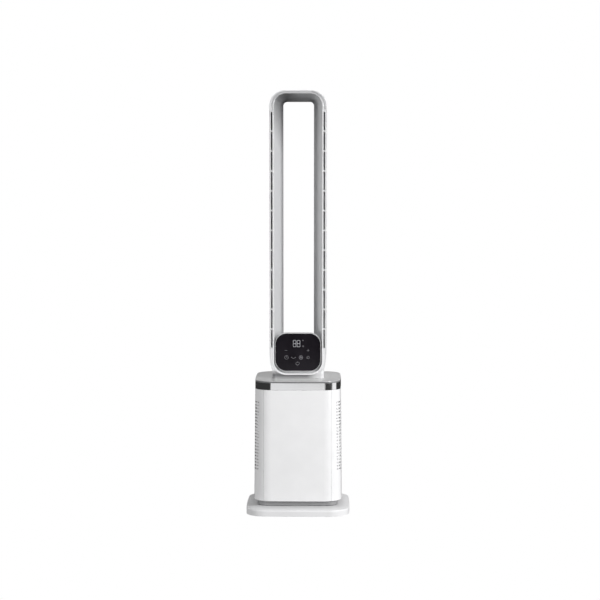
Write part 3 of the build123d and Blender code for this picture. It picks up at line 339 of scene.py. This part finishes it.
def arch_shadow_fades():
    """The flare's left wall and the left half of its arch, in the arch's own painted shadow."""
    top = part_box("loop_outer_shell")[1].z
    return (ARCH_SLANT, 0.0, 1.0, top - 0.143, top - 0.043), (ACROSS, 1.0, 0.0, -0.032, 0.009)


def plate_shade_fades():
    """Painted shade on the base plate's top face, weaker towards the left."""
    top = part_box("base_plate")[1].z
    return (UP, 0.0, 1.0, top - 0.0045, top - 0.001), (ACROSS, 0.3, 1.0, -0.115, -0.060)


# ---------------------------------------------------------------- materials of the CAD nodes
BODY_WHITE = (0.875, 0.875, 0.882)
LOOP_WHITE = (0.79, 0.792, 0.80)
# the flare's white is darker than the loop's: painted shade for the weaker light inside the loop
FLARE_WHITE_PAINTED_SHADE = (0.66, 0.665, 0.675)
PLATE_WHITE = (0.83, 0.83, 0.838)
FRAME_WHITE = (0.78, 0.78, 0.78)


def slot_materials():
    """A material for each slot of the record, apart from slots whose nodes all have their own."""
    return {
        "body_white": plastic("body_white", BODY_WHITE, 0.38),
        "base_grey": plastic("base_grey", (0.42, 0.42, 0.43), 0.6),
        # the pedestal's grey plastic, darkened as painted shade for the groove under the body's overhang
        "pedestal_grey": plastic("pedestal_grey", (0.29, 0.29, 0.295), 0.5),
        "chrome": chrome(),
        "silver_top": silver_paint_with_painted_light(),
        "panel_housing": plastic("panel_housing", (0.60, 0.60, 0.61), 0.35),
        "panel_glass": dark_glass(),
        "rubber": plastic("rubber", (0.03, 0.03, 0.03), 0.8, SOFT_GRAIN),
        "gland_black": plastic("gland_black", (0.025, 0.025, 0.025), 0.7, SOFT_GRAIN),
        "steel": metal("steel", (0.56, 0.56, 0.57), 0.3),
        "iron": metal("iron", (0.16, 0.16, 0.165), 0.65, CAST),
        "acetal": plastic("acetal", (0.76, 0.75, 0.70), 0.4),
        "inner_plastic": plastic("inner_plastic", (0.16, 0.165, 0.17), 0.55),
        "impeller_plastic": plastic("impeller_plastic", (0.05, 0.05, 0.055), 0.45),
        "motor_can": metal("motor_can", (0.45, 0.45, 0.46), 0.35),
        "circuit_board": circuit_board(),
        "filter_paper": paper(),
    }


def node_materials():
    """Materials of the nodes that don't look like the rest of their slot; four of them carry painted shade.
    """
    outer = plastic("loop_outer_white_painted_shade", LOOP_WHITE, 0.34)
    ring = plastic("loop_ring_white_painted_shade", LOOP_WHITE, 0.34)
    flare = plastic("flare_white_painted_shade", FLARE_WHITE_PAINTED_SHADE, 0.45)
    plate = plastic("base_plate_white_painted_shade", PLATE_WHITE, 0.42)
    filter_frame = plastic("filter_frame_white", FRAME_WHITE, 0.5)
    return {
        # painted shades laid over the white plastics: under the chin, on the ring's top bow, the arch's
        # shadow on the flare, and on the base plate's top
        "loop_outer_shell": soft_shade(outer, (0.20, 0.20, 0.205), chin_shade_fades()),
        "loop_front_ring": soft_shade(ring, (0.60, 0.602, 0.61), rim_shade_fades()),
        "loop_inner_shell": soft_shade(flare, (0.28, 0.282, 0.287), arch_shadow_fades()),
        "base_plate": soft_shade(plate, (0.70, 0.70, 0.707), plate_shade_fades()),
        "left_filter_frame": filter_frame,
        "right_filter_frame": filter_frame,
    }


def dress_nodes():
    """Gives every CAD node its own material, or else its slot's."""
    by_slot, by_node = slot_materials(), node_materials()
    slot_of = {entry["node"]: entry["material_slot"] for entry in frame["record"]["subparts"]}
    for name, node in frame["nodes"].items():
        material = by_node.get(name) or by_slot[slot_of[name]]
        for material_slot in node.material_slots:
            material_slot.material = material


# ---------------------------------------------------------------- shapes of the signs
# Signs are drawn in millimetres: x from the fan's middle, z up from the top edge of the panel's glass.


def polar(x, z, radius, degrees):
    """The point at this radius and angle round x, z."""
    angle = math.radians(degrees)
    return x + radius * math.cos(angle), z + radius * math.sin(angle)


def arc(x, z, radius, width, start, end, steps):
    """Quads of a round stroke from start to end, in degrees."""
    inner, outer = radius - width / 2, radius + width / 2
    turns = [start + (end - start) * step / steps for step in range(steps + 1)]
    quads = []
    for first, second in zip(turns, turns[1:]):
        quads.append([polar(x, z, inner, first), polar(x, z, outer, first),
                      polar(x, z, outer, second), polar(x, z, inner, second)])
    return quads


def stroke(x1, z1, x2, z2, width):
    """Straight stroke with pointed ends."""
    start, end = Vector((x1, z1)), Vector((x2, z2))
    along = (end - start).normalized() * width / 2
    side = Vector((-along.y, along.x))
    corners = [start - along, start - side, end - side, end + along, end + side, start + side]
    return [tuple(corner) for corner in corners]


def disc(x, z, radius, steps):
    """Filled round spot."""
    return [polar(x, z, radius, 360.0 * step / steps) for step in range(steps)]


# ---------------------------------------------------------------- signs on the touch panel
MM = 0.001
PRINT_DEPTH = 0.06 * MM

# in millimetres, as the signs are drawn
LINE, FINE_LINE, BOLD_LINE = 0.9, 0.8, 1.0
DIGIT_Z = -25.3
DIGIT_PLACES = (-8.5, 1.6)
DIGIT_WIDTH, DIGIT_HEIGHT = 7.1, 16.6
SEGMENT_LINE = 0.6
SEGMENT_GAP = 0.62 * SEGMENT_LINE
DEGREE_X, DEGREE_Z = 12.8, DIGIT_Z + 8.0
PERCENT_X, PERCENT_Z = 13.0, DIGIT_Z - 7.0
KEY_Z = -43.0
KEY_HALF = 3.0
MINUS_X, PLUS_X = -30.5, 26.0
ICON_Z = -61.0
TIMER_X, SWING_X, MODE_X, NIGHT_X = -29.3, -11.3, 7.5, 26.0
RING_RADIUS = 4.6
POWER_X, POWER_Z = -1.0, -76.5
ROUND = (0, 360)            # degrees of a whole ring


def display_digits():
    """Figure eights of a seven-segment display: every segment is lit."""
    shapes = []
    half, level = DIGIT_WIDTH / 2, DIGIT_HEIGHT / 2
    for x in DIGIT_PLACES:
        for z in (DIGIT_Z - level, DIGIT_Z, DIGIT_Z + level):
            shapes.append(stroke(x - half + SEGMENT_GAP, z, x + half - SEGMENT_GAP, z, SEGMENT_LINE))
        for side in (x - half, x + half):
            for z in (DIGIT_Z - level, DIGIT_Z):
                shapes.append(stroke(side, z + SEGMENT_GAP, side, z + level - SEGMENT_GAP, SEGMENT_LINE))
    return shapes


def display_units():
    """A degree ring and a percent sign."""
    x, z = PERCENT_X, PERCENT_Z
    return [*arc(DEGREE_X, DEGREE_Z, 1.3, FINE_LINE, *ROUND, 16),
            stroke(x - 1.6, z - 1.4, x + 1.6, z + 1.4, BOLD_LINE),
            disc(x - 1.4, z + 1.4, 0.7, 12), disc(x + 1.6, z - 1.4, 0.7, 12)]


def minus_sign():
    return [stroke(MINUS_X - KEY_HALF, KEY_Z, MINUS_X + KEY_HALF, KEY_Z, LINE)]


def plus_sign():
    shapes = [stroke(PLUS_X - KEY_HALF, KEY_Z, PLUS_X + KEY_HALF, KEY_Z, BOLD_LINE)]
    for way in (1, -1):
        shapes.append(stroke(PLUS_X, KEY_Z + way * BOLD_LINE / 2, PLUS_X, KEY_Z + way * KEY_HALF, BOLD_LINE))
    return shapes


def timer_icon():
    """A clock with two hands."""
    return [*arc(TIMER_X, ICON_Z, RING_RADIUS, LINE, *ROUND, 32),
            stroke(TIMER_X, ICON_Z + 0.4, TIMER_X, ICON_Z + 2.8, FINE_LINE),
            stroke(TIMER_X + 0.5, ICON_Z, TIMER_X + 2.2, ICON_Z, FINE_LINE)]


def swing_icon():
    """A bow with an arrowhead at each end."""
    shapes = arc(SWING_X, ICON_Z + 3.2, 5.4, LINE, 215, 325, 20)
    for tip_x in (SWING_X - 5.0, SWING_X + 5.0):
        shapes.append([(tip_x, ICON_Z + 1.8), (tip_x - 1.4, ICON_Z - 0.2), (tip_x + 1.4, ICON_Z - 0.2)])
    return shapes


def fan_mode_icon():
    """A ring round three blades and a hub."""
    blades = [polar(MODE_X, ICON_Z, 2.2, turn) for turn in (90, 210, 330)]
    return [*arc(MODE_X, ICON_Z, RING_RADIUS, LINE, *ROUND, 32), disc(MODE_X, ICON_Z, 0.9, 12),
            *[disc(x, z, 1.2, 14) for x, z in blades]]


def night_mode_icon():
    """A small ring with eight rays."""
    shapes = arc(NIGHT_X, ICON_Z, 2.6, LINE, *ROUND, 24)
    for turn in range(0, 360, 45):
        near, far = polar(NIGHT_X, ICON_Z, 3.7, turn), polar(NIGHT_X, ICON_Z, 4.5, turn)
        shapes.append(stroke(*near, *far, 0.7))
    return shapes


def power_icon():
    """An open ring with an upright in its gap."""
    return [*arc(POWER_X, POWER_Z, 4.2, LINE, 120, 420, 32),
            stroke(POWER_X, POWER_Z + 1.4, POWER_X, POWER_Z + 4.8, LINE)]


def print_sign(name, outlines, material):
    """Thin print that stands PRINT_DEPTH proud of the panel's glass."""
    glass_low, glass_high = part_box("control_glass")
    vertices, faces = [], []
    for outline in outlines:
        first, count = len(vertices), len(outline)
        for y in (glass_low.y - PRINT_DEPTH, glass_low.y):
            vertices += [(x * MM, y, glass_high.z + z * MM) for x, z in outline]
        faces.append([first + at for at in range(count)])
        faces.append([first + count + at for at in reversed(range(count))])
        for at in range(count):
            after = (at + 1) % count
            faces.append([first + at, first + count + at, first + count + after, first + after])
    mesh = bpy.data.meshes.new(name)
    mesh.from_pydata(vertices, [], faces)
    mesh.validate()
    mesh.materials.append(material)
    piece = new_object(name, mesh)
    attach(piece, "tower")


def make_signs():
    lit = print_ink("display_light", (0.66, 0.67, 0.70), 0.38)
    ink = print_ink("icon_print", (0.19, 0.186, 0.20), 0.07)
    faint = print_ink("icon_print_faint", (0.16, 0.16, 0.17), 0.04)
    print_sign("display_digits", display_digits(), lit)
    print_sign("display_units", display_units(), ink)
    print_sign("minus_sign", minus_sign(), faint)
    print_sign("plus_sign", plus_sign(), ink)
    print_sign("timer_icon", timer_icon(), ink)
    print_sign("swing_icon", swing_icon(), ink)
    print_sign("fan_mode_icon", fan_mode_icon(), ink)
    print_sign("night_mode_icon", night_mode_icon(), ink)
    print_sign("power_icon", power_icon(), ink)


# ---------------------------------------------------------------- floor and backdrop
FLOOR_REACH = 40.0
FLOOR_COLOR = (0.06, 0.06, 0.06)
# parts of the floor that are bright where chrome and gloss reflect them: glow, x range, y range
PATCHES = ((0.85, (-0.55, 0.55), (-3.1, -0.9)), (0.95, (1.3, 3.6), (-1.25, 0.2)))
PATCH_DIM = 0.04        # glow of the floor round them
PATCH_SOFT = 0.12       # width of their soft edges
FILL = 0.34             # strength of the light from all round
REFLECTED_FILL = 0.06   # the same as reflections see it


def by_ray(tree, kind, others, special):
    """A shader that gives one kind of ray the special one and the rest the other."""
    node = add(tree, "ShaderNodeMixShader")
    tree.links.new(add(tree, "ShaderNodeLightPath").outputs[kind], node.inputs[0])
    tree.links.new(others, node.inputs[1])
    tree.links.new(special, node.inputs[2])
    return node.outputs[0]


def lit_patches(tree):
    """What mirror surfaces see of the floor: bright in PATCHES and dim all round."""
    glows = []
    for glow, x_range, y_range in PATCHES:
        fades = []
        for direction, (low, high) in ((ACROSS, x_range), (BACK, y_range)):
            fades.append((direction, 0.0, 1.0, low - PATCH_SOFT, low))
            fades.append((direction, 1.0, 0.0, high, high + PATCH_SOFT))
        glows.append(ramp(tree, fade_product(tree, fades), PATCH_DIM, PATCH_DIM + glow, 0.0, 1.0))
    emission = add(tree, "ShaderNodeEmission")
    tree.links.new(combine(tree, "MAXIMUM", glows), emission.inputs["Strength"])
    return emission.outputs[0]


def make_stage():
    """A floor that the camera sees as plain white."""
    mesh = bpy.data.meshes.new("studio_floor")
    corners = [(x * FLOOR_REACH, y * FLOOR_REACH, 0) for x, y in ((-1, -1), (1, -1), (1, 1), (-1, 1))]
    mesh.from_pydata(corners, [], [(0, 1, 2, 3)])
    material, tree, shader = new_material("floor_white")
    shader.inputs["Base Color"].default_value = (*FLOOR_COLOR, 1.0)
    shader.inputs["Roughness"].default_value = 1.0
    shader.inputs["Specular IOR Level"].default_value = 0.0
    white = add(tree, "ShaderNodeEmission", Strength=1.0)
    unseen = by_ray(tree, "Is Glossy Ray", shader.outputs[0], lit_patches(tree))
    surface = by_ray(tree, "Is Camera Ray", unseen, white.outputs[0])
    tree.links.new(surface, tree.nodes["Material Output"].inputs["Surface"])
    mesh.materials.append(material)
    floor = new_object("studio_floor", mesh)


def make_world():
    """White to the camera, with a soft fill that reflections see dimmer."""
    world = bpy.data.worlds.new("studio")
    scene.world = world
    world.use_nodes = True
    tree = world.node_tree
    backdrop = tree.nodes["Background"]
    backdrop.inputs["Color"].default_value = (1.0, 1.0, 1.0, 1.0)
    backdrop.inputs["Strength"].default_value = 1.0
    fill = add(tree, "ShaderNodeBackground", Strength=FILL)
    dim = add(tree, "ShaderNodeBackground", Strength=REFLECTED_FILL)
    unseen = by_ray(tree, "Is Glossy Ray", fill.outputs[0], dim.outputs[0])
    surface = by_ray(tree, "Is Camera Ray", unseen, backdrop.outputs[0])
    tree.links.new(surface, tree.nodes["World Output"].inputs["Surface"])


# ---------------------------------------------------------------- lights
# name, place, target, width and height, watts, spread in degrees, whether gloss reflects it
LIGHTS = (
    ("key_high", (2.75, -2.75, 2.5), (0.0, 0.0, 0.3), (1.2, 1.2), 17.0, 80.0, True),
    ("key_level", (3.3, -2.9, 1.1), (0.0, 0.0, 0.3), (1.2, 1.6), 28.0, 90.0, True),
    ("right_side", (4.4, 0.1, 0.9), (0.0, 0.0, 0.3), (1.0, 1.4), 5.8, 90.0, True),
    ("rear_card", (0.0, 3.2, 1.0), (0.0, 0.0, 0.35), (3.0, 1.4), 7.0, 180.0, True),
    ("low_left", (-3.2, -1.6, 0.35), (0.0, 0.0, 0.15), (1.2, 0.6), 13.0, 90.0, False),
)


def make_lights():
    for name, place, target, size, power, spread, reflected in LIGHTS:
        data = bpy.data.lights.new(name, "AREA")
        data.shape = "RECTANGLE"
        data.size, data.size_y = size
        data.energy = power
        data.spread = math.radians(spread)
        light = new_object(name, data)
        place_and_aim(light, place, target)
        light.visible_camera = False
        light.visible_glossy = reflected


make_camera()
make_stage()
make_world()
make_lights()
dress_nodes()
make_signs()
